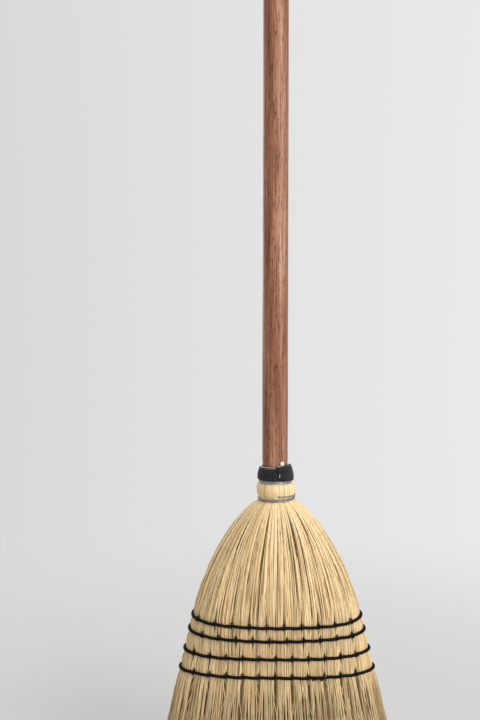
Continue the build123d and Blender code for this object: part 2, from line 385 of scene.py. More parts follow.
def wood_finish():
    """Open-pored reddish hardwood, thinly coated: ribbon figure, long streaks, pores, and painted shade that
    darkens the -X side.
    """
    finish = Finish("handle_hardwood", roughness=0.5, specular=0.25)
    finish.shader.inputs["Coat Weight"].default_value = 0.06
    finish.shader.inputs["Coat Roughness"].default_value = 0.3
    ribbon = finish.noise((1, 1, 0.05), 105, detail=4, roughness=0.62)
    base = finish.ramp(ribbon, [
        (0.30, (0.155, 0.052, 0.022)),
        (0.44, (0.235, 0.094, 0.046)),
        (0.56, (0.310, 0.144, 0.080)),
        (0.70, (0.440, 0.250, 0.164)),
    ])
    streaks = finish.noise((1, 1, 0.018), 560, detail=3, roughness=0.6, shift=(0.3, 0.1, 0))
    grain = finish.ramp(streaks, [
        (0.36, (0.58, 0.48, 0.42)),
        (0.50, (0.97, 0.96, 0.95)),
        (0.64, (1.22, 1.26, 1.30)),
    ])
    pores = finish.noise((1, 1, 0.13), 760, detail=3, roughness=0.6, shift=(0.7, 0.4, 0.2))
    flecks = finish.ramp(pores, [
        (0.36, (0.40, 0.30, 0.24)),
        (0.45, (1, 1, 1)),
        (0.60, (1, 1, 1)),
        (0.70, (1.4, 1.46, 1.5)),
    ])
    streaked = finish.mix("MULTIPLY", 0.9, base, grain)
    # Painted shade: the colour darkens towards the stick's -X side, where less light falls, and a little
    # towards its +X edge.
    across = finish.node("ShaderNodeSeparateXYZ")
    finish.join(finish.node("ShaderNodeTexCoord").outputs["Object"], across.inputs[0])
    side = finish.spread(across.outputs["X"], 0, 1, -handle_radius, handle_radius)
    painted_side_shade = finish.ramp(side, [
        (0.12, (0.87, 0.81, 0.76)),
        (0.48, (1, 1, 1)),
        (0.90, (0.96, 0.96, 0.97)),
    ])
    flecked = finish.mix("MULTIPLY", 0.85, streaked, flecks)
    finish.colour(finish.mix("MULTIPLY", 1.0, flecked, painted_side_shade))
    finish.rough(finish.spread(streaks, 0.50, 0.32))
    finish.bump(pores, 0.05 * MM, 0.35)
    return finish.material


def steel_finish(name, dark, light, roughness):
    """Drawn or plated steel with a faint mottled oxide."""
    finish = Finish(name, roughness=roughness, metallic=0.85)
    mottle = finish.noise((1, 1, 1), 900, detail=3)
    finish.colour(finish.ramp(mottle, [(0.3, (dark,) * 3), (0.7, (light,) * 3)]))
    finish.rough(finish.spread(mottle, roughness + 0.14, roughness - 0.08))
    finish.bump(mottle, 0.03 * MM, 0.5)
    return finish.material


def band_finish():
    """Black felted strip: dull, with a short nap and a worn, greyer bloom."""
    finish = Finish("band_black_felt", roughness=0.95, specular=0.12)
    nap = finish.noise((1, 1, 1), 950, detail=5, roughness=0.75)
    bloom = finish.ramp(nap, [
        (0.35, (0.003, 0.003, 0.004)),
        (0.52, (0.010, 0.010, 0.011)),
        (0.68, (0.050, 0.049, 0.048)),
    ])
    finish.colour(bloom)
    finish.shader.inputs["Sheen Weight"].default_value = 0.1
    finish.shader.inputs["Sheen Roughness"].default_value = 0.6
    finish.bump(nap, 0.35 * MM, 0.9)
    return finish.material


def twine_finish():
    """Black waxed twine, with fine fibres that catch a little light, and pale cut ends."""
    finish = Finish("sewing_twine_black", roughness=0.7, specular=0.12)
    fibres = finish.noise((1, 1, 1), 2600, detail=2)
    shade = finish.ramp(fibres, [(0.35, (0.6, 0.6, 0.6)), (0.7, (1.5, 1.5, 1.55))])
    finish.colour(finish.mix("MULTIPLY", 1.0, finish.tint(), shade))
    finish.bump(fibres, 0.15 * MM, 0.7)
    return finish.material


# ---- Sewing: where each stitch stands, and how it gathers the straw ----


least_stitch_gap = 5 * MM


def stitch_xs(row):
    """The x of each stitch in a row, from the separate loops of its CAD node."""
    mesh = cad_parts[f"stitches_row_{row + 1}"].data
    co = np.empty(len(mesh.vertices) * 3, np.float32)
    mesh.vertices.foreach_get("co", co)
    xs = np.sort(co[0::3])
    ends = np.flatnonzero(np.diff(xs) > least_stitch_gap)
    return np.array([(group[0] + group[-1]) / 2 for group in np.split(xs, ends + 1)])


def row_fractions(row):
    """Every stitch of a row as a share of the way round, front and back, in order."""
    height = row_heights[row]
    xs = stitch_xs(row)
    around = np.concatenate([fraction_at(xs, height), fraction_at(xs, height, back=True)])
    return np.sort(np.mod(around, 1.0))


sewn_fractions = [row_fractions(row) for row in range(len(row_heights))]


def between_stitches(fraction, row):
    """For each place, how far it stands between its two stitches, 0 to 1, and their distance apart."""
    stops = sewn_fractions[row]
    ring = np.concatenate([[stops[-1] - 1], stops, [stops[0] + 1]])
    place = np.mod(fraction, 1.0)
    after = np.clip(np.searchsorted(ring, place), 1, len(ring) - 1)
    gap = ring[after] - ring[after - 1]
    return (place - ring[after - 1]) / gap, gap


row_settle = 0.7 * MM
row_droop = 2.9 * MM
edge_pinch = 0.8 * MM
slit_half_width = 1.05 * MM
free_slit_half_width = 1.8 * MM
slit_reach = 3.0 * MM
slit_depth = 1.7 * MM
slit_bell = 1.7 * MM
row_press = 1.1 * MM
row_bell = 3.4 * MM


def droop(fraction):
    """How far the sewing lies below its level: least at the middle, growing by the squared sine."""
    return row_settle + row_droop * np.sin(2 * np.pi * fraction) ** 2


def row_level(fraction, row):
    """The height of a row at each place."""
    return row_heights[row] - droop(fraction)


def row_pinch(fraction):
    """How much further a row draws the straw in at the two narrow edges: the eighth power of the sine."""
    return edge_pinch * np.sin(2 * np.pi * fraction) ** 8


def row_grip(away, row):
    """How strongly a row parts the straw: a bell, long above the top row and below the last."""
    above = 15 * MM if row == 0 else 5 * MM
    below = 70 * MM if row == len(row_heights) - 1 else 9 * MM
    return np.exp(-((away / np.where(away > 0, above, below)) ** 2))


def girth(height):
    """Roughly the distance round the head."""
    wide, thick = head_section(height)
    return np.pi * (wide + thick)


def gathered(fraction, height):
    """The sewing's pull on the straw: the fraction moved away from each stitch, and the groove it leaves.

    The move falls off exponentially with the distance from the stitch, and the groove as a bell.
    """
    around = girth(height)
    shift, groove = np.zeros(np.shape(fraction)), np.zeros(np.shape(fraction))
    for row in range(len(row_heights)):
        share, gap = between_stitches(fraction, row)
        away = height - row_level(fraction, row)
        grip = row_grip(away, row)
        before, after = share * gap * around, (1 - share) * gap * around
        is_free = (row == len(row_heights) - 1) & (away < 0)
        opened = np.where(is_free, free_slit_half_width, slit_half_width)
        shift = shift + grip * opened * (np.exp(-before / slit_reach) - np.exp(-after / slit_reach)) / around
        groove = groove + grip * slit_depth * np.exp(-((np.minimum(before, after) / slit_bell) ** 2))
        groove = groove + (row_press + row_pinch(fraction)) * np.exp(-((away / row_bell) ** 2))
    return fraction + shift, groove


def make_partings():
    """Places where the straw parts by itself: (fraction, top, bottom, half opening), in three belts.

    A belt gives how many, and the least and most of their tops, lengths and half openings in millimetres.
    """
    rng = np.random.default_rng(7)
    belts = (
        (110, (330, 352), (20, 62), (0.16, 0.50)),
        (300, (246, 328), (22, 56), (0.14, 0.50)),
        (190, (120, 178), (60, 150), (0.5, 1.5)),
    )
    partings = []
    for count, tops, lengths, openings in belts:
        place = (np.arange(count) + rng.uniform(0, 1, count)) / count
        top = rng.uniform(*tops, count) * MM
        bottom = top - rng.uniform(*lengths, count) * MM
        partings.append(np.stack([place, top, bottom, rng.uniform(*openings, count) * MM], axis=-1))
    return np.concatenate(partings)


partings = make_partings()
parting_reach = 1.3 * MM
parting_bell = 0.8 * MM
parting_head = 10 * MM
parting_tail = 16 * MM


def parted(fraction, height):
    """The straw moved aside exponentially from each parting, and the bell-shaped hollow along it."""
    around = girth(height)
    shift, hollow = np.zeros(np.shape(fraction)), np.zeros(np.shape(fraction))
    for place, top, bottom, opening in partings:
        away = (np.mod(fraction - place + 0.5, 1.0) - 0.5) * around
        open_here = np.clip((top - height) / parting_head, 0, 1)
        open_here = open_here * np.clip((height - bottom) / parting_tail, 0, 1)
        near = open_here * np.exp(-np.abs(away) / parting_reach)
        shift = shift + np.sign(away) * opening * near / around
        hollow = hollow + opening * open_here * np.exp(-((away / parting_bell) ** 2))
    return fraction + shift, hollow


# ---- Straws ----

# Heights at which a whole straw's path is worked out, from its butt in the neck to its tip.
neck_levels = np.array([390, 384, 382, 380.6, 379, 375, 370, 367.8, 366.6, 363.4, 361.6, 358, 352, 344]) * MM
shoulder_levels = np.array([333, 320, 305, 288, 270, 255, 246]) * MM
row_levels = np.sort(np.concatenate([row_heights, (np.array(row_heights[1:]) + row_heights[:-1]) / 2]))[::-1]
free_levels = np.array([170, 155, 138, 118, 95, 70, 40, 0]) * MM
whole_straw = np.concatenate([neck_levels, shoulder_levels, row_levels, free_levels])
shoulder_start = len(neck_levels)
rows_start = shoulder_start + len(shoulder_levels)
free_start = rows_start + len(row_levels)

straw_colours = np.array([
    (0.800, 0.622, 0.370),
    (0.745, 0.550, 0.305),
    (0.665, 0.475, 0.245),
    (0.560, 0.385, 0.185),
    (0.690, 0.570, 0.310),
    (0.520, 0.340, 0.175),
])
straw_colour_shares = np.array([0.32, 0.32, 0.19, 0.08, 0.06, 0.03])

# (height, brightness) of the straw: brighter at the neck and darker at the tips, partly the straw's own
# bleaching and tan and partly painted shade.
straw_tone_and_shade = np.array([
    (0, 0.80), (110, 0.82), (165, 0.94), (200, 1.02), (270, 1.06), (320, 1.02), (350, 0.97), (400, 1.08),
])

# Where the straw leaves the neck, how quickly the rows take hold of it, and how it strays and wanders.
neck_hold = 60 * MM
row_hold = 20 * MM
sideways_wave = 300 * MM
depth_wave = 220 * MM
long_tip_share = 0.08
astray_share = 0.07
astray_spread = 9 * MM
least_sink = -0.3 * MM


def waves(rng, count):
    """Random phases and strengths for a slow wander along each straw, of two waves."""
    return rng.uniform(0, 2 * np.pi, (count, 2)), rng.normal(0, 1, (count, 2))


def wander(height, phases, strengths, length):
    """A slow, smooth wander along each straw: sine waves whose strength falls as their number to the 1.5."""
    total = 0.0
    for term in range(phases.shape[1]):
        turn = 2 * np.pi * height * (term + 1) / length + phases[:, term : term + 1]
        total = total + strengths[:, term : term + 1] * np.sin(turn) / (term + 1) ** 1.5
    return total


def straws(rng, count, low, high, levels, widths, depth, loose=1.0, end_spread=5.0, flat=0.6, stray=0.03):
    """Paths, normals, widths and colours of straws laid between two fractions of the way round.

    A straw keeps its share of the way round as the head widens, wanders a little, moves aside at the
    partings and is gathered by the sewing. widths gives (height, width) pairs, depth how far it lies
    under the surface, and loose how much freer its end is below the sewing.
    """
    levels = np.asarray(levels)
    home = low + (high - low) * (np.arange(count) + rng.uniform(0.1, 0.9, count)) / count
    height = np.repeat(levels[None, :], count, axis=0)
    if levels[0] < shoulder_top:
        height[:, 0] -= rng.uniform(0, 0.8, count) * (levels[0] - levels[1])
    if levels[-1] <= 0:
        tip = np.abs(rng.normal(0, end_spread, count)) * MM
        height[:, -1] += np.where(rng.uniform(size=count) < long_tip_share, tip * 3, tip)
    sewn = np.interp(height, [140 * MM, lowest_row, row_heights[0], 262 * MM], [0, 1, 1, 0])
    height = height - sewn * droop(home)[:, None]

    below = np.clip((lowest_row - height) / lowest_row, 0, 1)
    opened = np.clip((shoulder_top - height) / neck_hold, 0, 1)
    under_top = np.clip((row_heights[0] + 25 * MM - height) / row_hold, 0, 1)
    over_last = np.clip((height - lowest_row + 26 * MM) / row_hold, 0, 1)
    pressed = under_top * over_last
    phases, strengths = waves(rng, count)
    sideways = wander(height, phases, strengths, sideways_wave) * (0.5 * opened + 2.4 * loose * below) * MM
    astray = (rng.uniform(size=count) < astray_share) * rng.normal(0, astray_spread, count) * loose
    sideways = sideways + astray[:, None] * below
    fraction = home[:, None] + sideways / girth(height)
    fraction, hollow = parted(fraction, height)
    fraction, groove = gathered(fraction, height)

    heights, sizes = np.array(sorted(widths)).T
    width = np.interp(height, heights * MM, sizes * MM) * rng.uniform(0.72, 1.28, count)[:, None]

    phases, strengths = waves(rng, count)
    sink = rng.uniform(depth[0], depth[1], count)[:, None] * MM * (0.3 + 0.7 * opened) * (1 - 0.45 * pressed)
    freedom = 0.2 * opened * (1 - 0.7 * pressed) + 1.2 * loose * below
    drift = wander(height, phases, strengths, depth_wave) * freedom
    sink = np.maximum(sink + drift * MM, least_sink) + width * flat / 2
    bow = (rng.uniform(size=count) < stray)[:, None] * rng.uniform(0.8, 2.4, count)[:, None] * MM
    free = np.sin(np.pi * np.clip(opened * 0.6 + below * 0.4, 0, 1)) * (1 - pressed)
    sink = sink - bow * free + groove + hollow
    if levels[-1] > 0:
        sink[:, -1] += 1.6 * MM
        sink[:, -2] += 0.5 * MM
    path, normal = on_head(fraction, height, sink)

    width[:, -1] *= 0.45
    width[:, 0] *= 0.5

    kind = rng.choice(len(straw_colours), count, p=straw_colour_shares)
    colour = straw_colours[kind] * rng.uniform(0.80, 1.14, count)[:, None]
    # Brightness by height: partly the straw's own tone, partly painted shade, lighter in the neck and darker
    # low down.
    tone_and_shade = np.interp(height, straw_tone_and_shade[:, 0] * MM, straw_tone_and_shade[:, 1])
    tints = colour[:, None, :] * tone_and_shade[..., None]
    return path, normal, width, width * flat, tints


def straw_piece(name, parts):
    """One mesh of many straws, each a closed tube with its own colour. A part is (sides, straws)."""
    points, faces, tints, used = [], [], [], 0
    for sides, (path, normal, wide, thick, tint) in parts:
        count, rings = path.shape[:2]
        tube = tube_points(path, normal, wide, thick, sides)
        points.append(tube.reshape(-1, 3))
        faces += tube_faces(rings, sides, count, first=used)
        tints.append(np.repeat(tint[:, :, None, :], sides, axis=2).reshape(-1, 3))
        used += count * rings * sides
    return new_piece(name, np.concatenate(points), faces, straw_material, np.concatenate(tints))


# (height, width) in millimetres of each kind of straw.
stem_widths = [(400, 2.7), (362, 2.6), (344, 2.4), (320, 2.1), (288, 1.8), (240, 1.4), (200, 1.1)]
branch_widths = [(345, 1.0), (320, 1.3), (288, 1.35), (240, 1.2), (180, 1.15), (90, 0.9), (0, 0.6)]
fine_widths = [(310, 0.5), (280, 0.9), (240, 0.95), (180, 0.9), (90, 0.75), (0, 0.5)]
free_widths = [(190, 0.5), (150, 0.9), (100, 0.85), (60, 0.75), (0, 0.5)]


def bundle_straws(seed, low, high, share):
    """All the straws of one bundle: stems from the neck, then branches and fine and free ends below them."""
    rng = np.random.default_rng(seed)

    def group(number, starts, ends, sides, widths, depth, **manner):
        """Straws shared out over several starting and ending levels."""
        each = max(int(round(number * share / len(starts) / len(ends))), 1)
        for start in starts:
            for end in ends:
                levels = whole_straw[start:end]
                made.append((sides, straws(rng, each, low, high, levels, widths, depth, **manner)))

    made = []
    last = len(whole_straw)
    stem_ends = range(shoulder_start + 4, rows_start + 4)
    group(210, (0,), stem_ends, 4, stem_widths, (0.0, 1.2), flat=0.5)
    group(640, range(shoulder_start - 1, shoulder_start + 5), (last,), 3, branch_widths, (0.1, 1.5))
    group(760, range(shoulder_start + 2, rows_start + 1), (last,), 3, fine_widths, (0.2, 2.2))
    group(560, range(rows_start - 1, rows_start + 4), (last,), 3, fine_widths, (0.4, 3.0))
    free_starts = range(free_start - 1, free_start + 2)
    group(1150, free_starts, (last,), 3, free_widths, (0.3, 5.5), loose=1.5, end_spread=7.0)
    return made


straw_material = straw_finish()

# Each bundle's node, seed, place round the head from low to high, and share of the straws.
bundles = {
    "front_cover_straws": ("front_cover_corn", 11, -0.205, 0.205, 0.42),
    "right_shoulder_straws": ("right_shoulder_corn", 12, 0.195, 0.305, 0.12),
    "back_cover_straws": ("back_cover_corn", 13, 0.295, 0.705, 0.42),
    "left_shoulder_straws": ("left_shoulder_corn", 14, 0.695, 0.805, 0.12),
}


def finish_straw(piece, node):
    """A straw piece stands for its bundle's two solids, which are hidden; its placement is baked into its
    points.
    """
    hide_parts(node, f"{node}_tips")
    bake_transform(piece)


for piece_name, (node, seed, low, high, share) in bundles.items():
    finish_straw(straw_piece(piece_name, bundle_straws(seed, low, high, share)), node)


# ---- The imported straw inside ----

core_inset = 4.0 * MM
core_neck_inset = 1.5 * MM
core_ribbed_to = 350 * MM
core_rib = 0.7 * MM
core_bottom = 17 * MM
core_top = 388 * MM
# The inside's colours are painted shade of deep straw: darkest below the shoulder, lighter up into the neck.
core_painted_shade_brown = np.array([0.38, 0.25, 0.115])
core_pale = np.array([0.66, 0.49, 0.26])


def inside_core():
    """The bundle's inside, coloured darker than its straw as painted shade: an oval surface under the straws,
    ribbed round and closed at both ends.

    Its points are on_head at an inset that ripples with the fraction, less deep in the neck.
    """
    columns = 720
    heights = np.concatenate([
        np.linspace(core_bottom, core_ribbed_to, 60),
        np.linspace(core_ribbed_to + 2 * MM, core_top, 26),
    ])
    fractions = np.arange(columns) / columns
    around, up = np.meshgrid(fractions, heights)
    _, groove = gathered(around, up)
    ribs = np.sin(2 * np.pi * 120 * around + 9 * np.sin(6 * np.pi * around))
    ripple = core_rib * ribs * (up < core_ribbed_to)
    depth = np.where(up > shoulder_top, core_neck_inset, core_inset) + ripple + 0.6 * groove
    surface, _ = on_head(around, up, depth)
    bottom = np.repeat([[0, 0, core_bottom + 2 * MM]], columns, axis=0)
    top = np.repeat([[0, 0, core_top]], columns, axis=0)
    rows = np.concatenate([bottom[None], surface, top[None]])
    quads = sheet_quads(np.arange(len(rows) * columns).reshape(-1, columns))
    # Painted shade: the inside is darker low down and lighter towards the neck.
    pale = np.clip((rows[..., 2:] - shoulder_foot) / (shoulder_top - shoulder_foot), 0, 1) ** 2
    tints = (core_painted_shade_brown + (core_pale - core_painted_shade_brown) * pale).reshape(-1, 3)
    piece = new_piece("inside_corn_core", rows.reshape(-1, 3), [quads], core_finish(), tints)
    work = bmesh.new()
    work.from_mesh(piece.data)
    bmesh.ops.remove_doubles(work, verts=work.verts, dist=1e-7)
    bmesh.ops.recalc_face_normals(work, faces=work.faces)
    work.to_mesh(piece.data)
    work.free()
    return piece


finish_straw(inside_core(), "inside_corn")


def inner_ends():
    """The cut ends of the inside corn, filling the oval between the covers at the tips.

    Each is a short upright straw. The places spread evenly over the oval by the sunflower rule:
    the n-th of N is at the root of n/N of the radius and turned by the golden angle.
    """
    rng = np.random.default_rng(21)
    count = 1500
    order = np.arange(count) + 0.5
    reach = np.sqrt(order / count)
    turn = order * np.pi * (3 - math.sqrt(5))
    levels = np.array([70, 45, 25, 10, 0]) * MM
    height = np.repeat(levels[None, :], count, axis=0)
    height[:, -1] += np.abs(rng.normal(0, 4, count)) * MM
    wide, thick = head_section(height)
    jitter = rng.normal(0, 1.6 * MM, (2, count, 1))
    sway = rng.normal(0, 1.6 * MM, (2, count, 1)) * (1 - height / levels[0])
    inside = 4 * MM
    x = (wide - inside) * (reach * np.sin(turn))[:, None] + jitter[0] + sway[0]
    y = (thick - inside) * (reach * np.cos(turn))[:, None] + jitter[1] + sway[1]
    x = x + lean_at(height)
    path = np.stack([x, y, height], axis=-1)
    outward = np.broadcast_to([0.0, -1.0, 0.0], path.shape)
    width = np.interp(height, [0, 70 * MM], [1.0 * MM, 1.8 * MM]) * rng.uniform(0.7, 1.3, count)[:, None]
    colour = straw_colours[rng.choice(len(straw_colours), count, p=straw_colour_shares)] * 0.72
    tints = np.repeat(colour[:, None, :], len(levels), axis=1)
    return straw_piece("inside_corn_ends", [(4, (path, outward, width, width * 0.8, tints))])


ends = inner_ends()
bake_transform(ends)


# ---- Sewing twine ----

twine_material = twine_finish()
twine_black = np.array([0.0028, 0.0028, 0.0032])
cut_end_pale = (0.62, 0.58, 0.52)
stitch_proud = 0.7 * MM
stitch_sunk = 2.2 * MM


def twine_piece(name, tube, faces):
    """Black twine from the points and faces of its tubes."""
    tints = np.broadcast_to(twine_black, tube.shape).reshape(-1, 3)
    return new_piece(name, tube.reshape(-1, 3), faces, twine_material, tints)


def twine_row(row):
    """A row of three-ply twine round the head, which sinks in at each stitch.

    Its inset falls by the squared sine of the way between two stitches, its height wobbles by six sine
    waves, and its three lobes turn as it goes round.
    """
    steps, sides, turns = 1400, 12, 95
    rng = np.random.default_rng(30 + row)
    fraction = np.arange(steps) / steps
    share, gap = between_stitches(fraction, row)
    swell = np.sin(np.pi * share) ** 2 * np.clip(gap / 0.035, 0, 1)
    inset = (0.3 - 0.5 * swell) * MM + row_pinch(fraction)
    phases = rng.uniform(0, 2 * np.pi, 6)
    waves_round = [np.sin(2 * np.pi * k * fraction + phase) / k for k, phase in enumerate(phases, 2)]
    wobble = sum(waves_round) * 0.35 * MM
    height = row_level(fraction, row) + wobble + 0.25 * MM * np.sin(2 * np.pi * share)
    path, normal = on_head(fraction, height, inset)
    closed = np.concatenate([path[-1:], path, path[:1]])[None]
    closed_normal = np.concatenate([normal[-1:], normal, normal[:1]])[None]
    size = np.full((1, steps + 2), 2 * twine_radius)
    twist = 2 * np.pi * turns * np.arange(-1, steps + 1) / steps
    tube = tube_points(closed, closed_normal, size, size, sides, lobes=3, lobe_depth=0.13, twist=twist[None])
    return twine_piece(f"twine_laid_row_{row + 1}", tube[0, 1:-1], tube_faces(steps, sides, 1, closed=True))


def stitch_loops(row):
    """The stitches of a row, front and back: each comes out of the straw, crosses the row and goes in below.

    Its height falls evenly along it. It stands off the straw by a half sine to a power, less stitch_sunk,
    so both ends are buried.
    """
    rng = np.random.default_rng(40 + row)
    fractions = sewn_fractions[row]
    count, rings, sides = len(fractions), 13, 8
    along = np.linspace(0, 1, rings)[None, :]
    top = rng.uniform(3.0, 4.2, count)[:, None] * MM
    bottom = rng.uniform(2.2, 3.2, count)[:, None] * MM
    height = row_level(fractions, row)[:, None] + top - (top + bottom) * along
    lean = rng.normal(0, 0.0006, count)[:, None] * (along - 0.5)
    arch = np.sin(np.pi * along) ** 0.8
    stand = arch * (2 * twine_radius + stitch_proud) - stitch_sunk
    path, normal = on_head(fractions[:, None] + lean, height, -stand)
    size = (0.9 + 1.0 * arch) * MM * np.ones((count, 1))
    twist = np.broadcast_to(2 * np.pi * 1.3 * along, (count, rings))
    tube = tube_points(path, normal, size, size, sides, lobes=2, lobe_depth=0.12, twist=twist)
    return twine_piece(f"stitch_loops_row_{row + 1}", tube, tube_faces(rings, sides, count))


for row, node in enumerate(row_nodes):
    for piece, replaced in ((twine_row(row), node), (stitch_loops(row), f"stitches_row_{row + 1}")):
        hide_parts(replaced)
        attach(piece, "broom")


def twine_tie():
    """The tie that ends the sewing: a small knot on the lowest row, and two cut tails with pale ends.

    The knot is the three-leaved one: sin t + 2 sin 2t across, cos t - 2 cos 2t up and -sin 3t outward, each
    scaled. A tail runs across by a line, up by a parabola and outward by a half sine.
    """
    sides = 8
    x = (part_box("twine_knot")[0].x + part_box("twine_knot")[1].x) / 2
    place = float(fraction_at(np.array([x]), lowest_row)[0])
    turn = np.linspace(0, 1, 49)
    hitch = np.stack([
        (np.sin(2 * np.pi * turn) + 2 * np.sin(4 * np.pi * turn)) * 0.75,
        (np.cos(2 * np.pi * turn) - 2 * np.cos(4 * np.pi * turn)) * 0.75,
        -np.sin(6 * np.pi * turn) * 0.7 + 1.9,
    ], axis=-1) * MM
    tail = np.linspace(0, 1, 17)
    rise = np.sin(np.pi * tail)
    first = np.stack([-1.5 - 9.5 * tail, -0.4 - 1.6 * tail**2, 1.7 + 0.5 * rise - 0.6 * tail], -1) * MM
    second = np.stack([1.2 + 3.0 * tail, 0.2 + 1.4 * tail, 1.9 + 0.6 * rise], -1) * MM
    centre, normal = on_head(place, row_level(place, len(row_heights) - 1), 0.0)
    across = np.array([-normal[1], normal[0], 0.0])
    points, faces, tints, used = [], [], [], 0
    for route, is_tail in ((hitch, False), (first, True), (second, True)):
        path = centre + route[:, :1] * across + route[:, 1:2] * np.array([0, 0, 1.0]) + route[:, 2:] * normal
        size = np.full((1, len(route)), 1.5 * MM)
        twist = 2 * np.pi * 5 * np.linspace(0, 1, len(route))[None]
        outward = np.broadcast_to(normal, path.shape)[None]
        tube = tube_points(path[None], outward, size, size, sides, lobes=2, lobe_depth=0.12, twist=twist)
        tint = np.broadcast_to(twine_black, tube.shape).copy()
        if is_tail:
            tint[:, -2:] = cut_end_pale
        points.append(tube.reshape(-1, 3))
        faces += tube_faces(len(route), sides, 1, first=used)
        tints.append(tint.reshape(-1, 3))
        used += len(route) * sides
    return new_piece("twine_tie", np.concatenate(points), faces, twine_material, np.concatenate(tints))


tie = twine_tie()
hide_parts("twine_knot")
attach(tie, "broom")


# ---- Wire windings ----

# (height, radius) of the wire's outside, up the neck to the handle.
winding_outline = np.array([
    (winding_foot, 18.6 * MM),
    (winding_low.z + 9 * MM, 17.7 * MM),
    (winding_low.z + 15 * MM, 16.3 * MM),
    (winding_high.z, 15.0 * MM),
    (winding_high.z + 2.5 * MM, 14.9 * MM),
])


def coil(angle, height, radius, thickness, first=0):
    """Round wire along a coil: x = radius sin(angle), y = -radius cos(angle), at each step's height."""
    sides = 8
    path = np.stack([radius * np.sin(angle), -radius * np.cos(angle), height], axis=-1)[None]
    outward = np.stack([np.sin(angle), -np.cos(angle), np.zeros_like(angle)], axis=-1)[None]
    size = np.full((1, len(angle)), 2 * thickness)
    tube = tube_points(path, outward, size, size, sides)
    return tube.reshape(-1, 3), tube_faces(len(angle), sides, 1, first=first)


def upper_winding():
    """Close turns up the neck: an even helix on the outline. The last tilt up at the right, to the nail."""
    rise = winding_high.z - winding_foot - 3.2 * wire_radius
    turns = round(rise / (1.96 * wire_radius))
    nail_low, nail_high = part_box("finish_nail")
    last = math.atan2(nail_high.x, -nail_low.y) - math.radians(6)
    angle = np.linspace(last - 2 * np.pi * turns, last, turns * 56)
    done = (angle - angle[0]) / (angle[-1] - angle[0])
    height = winding_foot + wire_radius + rise * done
    tilt = np.clip((angle - (last - 5 * np.pi)) / (3 * np.pi), 0, 1)
    lifted = np.clip((angle - last + 2 * np.pi) / np.pi, 0, 1)
    height = height + 1.1 * MM * tilt * np.sin(angle) + 0.5 * MM * lifted
    radius = np.interp(height, winding_outline[:, 0], winding_outline[:, 1]) - wire_radius
    return new_piece("upper_wire_turns", *coil(angle, height, radius, wire_radius), bright_wire)


def cinch_turns():
    """Two turns side by side at the foot of the neck, and part of a third that comes out at the front.

    The angle runs evenly, the height climbs between the turns and tilts by the sine of the angle, and the
    radius falls at each end, where the wire goes into the straw.
    """
    thickness = 0.8 * MM
    thin = 0.62 * MM
    angle = np.linspace(math.radians(-200), math.radians(545), 460)
    turn = (angle - angle[0]) / (2 * np.pi)
    height = cinch_low.z + 1.0 * MM + 1.35 * MM * np.clip(turn - 0.4, 0, 1.2) + 0.5 * MM * np.sin(angle)
    ends = np.minimum(angle - angle[0], angle[-1] - angle)
    radius = 19.9 * MM - 2.0 * MM * np.clip(1 - ends / 0.35, 0, 1) ** 2
    full = coil(angle, height, radius, thickness)
    start = math.radians(-2)
    angle = np.linspace(start, math.radians(215), 120)
    along = (angle - start) / (angle[-1] - start)
    height = cinch_high.z + 2.4 * MM - 3.0 * MM * along + 0.35 * MM * np.sin(angle)
    radius = 20.6 * MM - 1.8 * MM * np.clip(1 - along / 0.04, 0, 1)
    radius = radius - 2.4 * MM * np.clip((along - 0.85) / 0.15, 0, 1)
    third = coil(angle, height, radius, thin, first=len(full[0]))
    points = np.concatenate([full[0], third[0]])
    points[:, 0] += lean_at(cinch_low.z)
    return new_piece("cinch_wire_turns", points, full[1] + third[1], dark_wire)


bright_wire = steel_finish("galvanised_wire", dark=0.26, light=0.46, roughness=0.46)
dark_wire = steel_finish("weathered_wire", dark=0.15, light=0.30, roughness=0.5)
bright_steel = steel_finish("zinc_plated_steel", dark=0.62, light=0.86, roughness=0.28)

for piece, node in ((upper_winding(), "upper_binding_wire"), (cinch_turns(), "cinch_wire")):
    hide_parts(node)
    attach(piece, "broom")


# ---- Neck band ----


